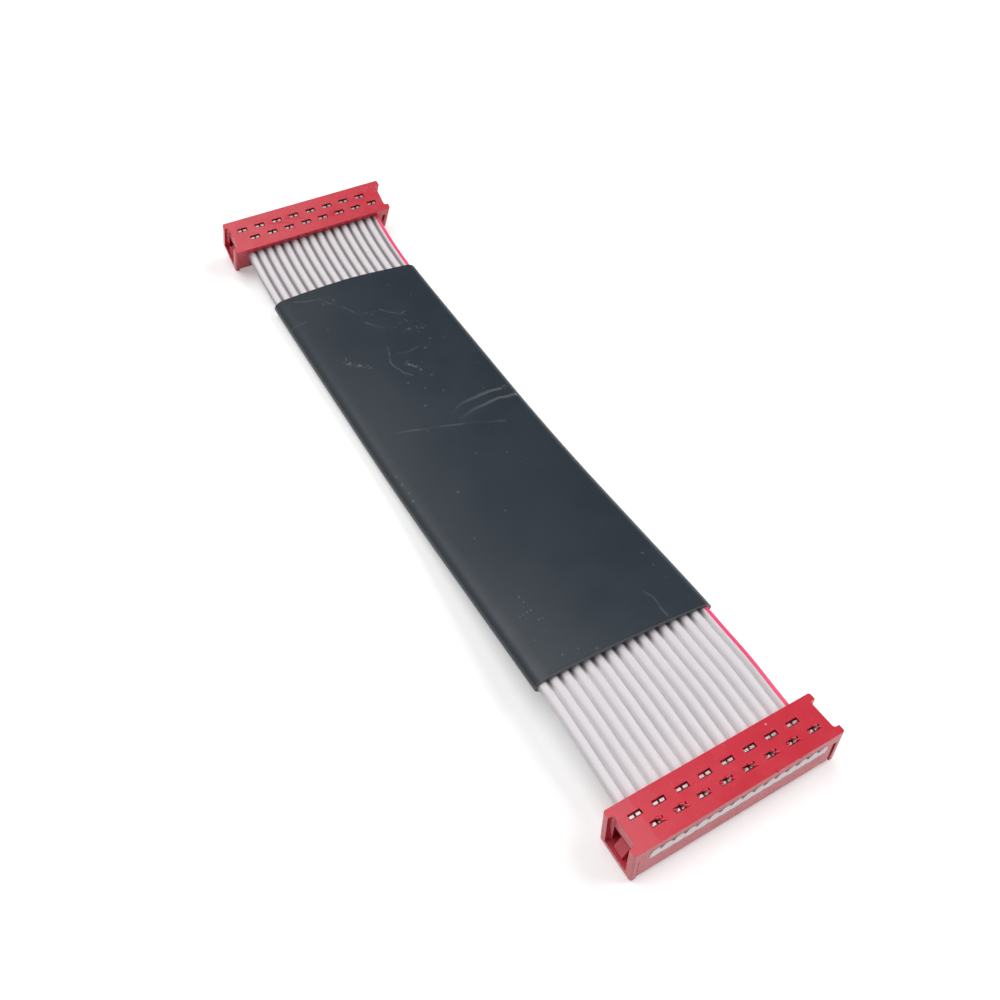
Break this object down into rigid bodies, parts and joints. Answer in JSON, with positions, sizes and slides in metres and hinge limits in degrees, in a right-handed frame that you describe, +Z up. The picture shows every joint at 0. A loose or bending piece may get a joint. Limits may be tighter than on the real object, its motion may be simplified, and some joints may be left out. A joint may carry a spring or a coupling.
{
  "type": "ribbon cable",
  "caption": "Short flat ribbon cable with a slotted red insulation-displacement connector on each end and a black heat-shrink sleeve round its middle, lying loosely bent.",
  "frame": {"origin": "middle of the cable's outer box, on the surface it lies on", "axes": "+Y along the cable from the near to the far connector, +X across the ribbon towards the dyed edge, +Z up"},
  "size_m": [0.0236, 0.1024, 0.0065],
  "materials": {
    "ribbon": "pale grey flexible vinyl, one edge conductor dyed pink-red",
    "sleeve": "semi-matte black shrunk sleeve with light scuffs",
    "connector_red": "satin moulded red plastic",
    "tinned_contact": "bright tin plate over stamped copper alloy",
    "copper": "stranded tinned copper as one round core"
  },
  "bodies": {
    "root": {"ribbon_insulation": "ribbon", "heat_shrink_sleeve": "sleeve", "near_cover": "connector_red", "far_cover": "connector_red", "near_housing": "connector_red", "far_housing": "connector_red", "near_contact_01": "tinned_contact", "near_contact_02": "tinned_contact", "near_contact_03": "tinned_contact", "near_contact_04": "tinned_contact", "near_contact_05": "tinned_contact", "near_contact_06": "tinned_contact", "near_contact_07": "tinned_contact", "near_contact_08": "tinned_contact", "near_contact_09": "tinned_contact", "near_contact_10": "tinned_contact", "near_contact_11": "tinned_contact", "near_contact_12": "tinned_contact", "near_contact_13": "tinned_contact", "near_contact_14": "tinned_contact", "near_contact_15": "tinned_contact", "near_contact_16": "tinned_contact", "far_contact_01": "tinned_contact", "far_contact_02": "tinned_contact", "far_contact_03": "tinned_contact", "far_contact_04": "tinned_contact", "far_contact_05": "tinned_contact", "far_contact_06": "tinned_contact", "far_contact_07": "tinned_contact", "far_contact_08": "tinned_contact", "far_contact_09": "tinned_contact", "far_contact_10": "tinned_contact", "far_contact_11": "tinned_contact", "far_contact_12": "tinned_contact", "far_contact_13": "tinned_contact", "far_contact_14": "tinned_contact", "far_contact_15": "tinned_contact", "far_contact_16": "tinned_contact", "conductor_01": "copper", "conductor_02": "copper", "conductor_03": "copper", "conductor_04": "copper", "conductor_05": "copper", "conductor_06": "copper", "conductor_07": "copper", "conductor_08": "copper", "conductor_09": "copper", "conductor_10": "copper", "conductor_11": "copper", "conductor_12": "copper", "conductor_13": "copper", "conductor_14": "copper", "conductor_15": "copper", "conductor_16": "copper"}
  },
  "joints": []
}
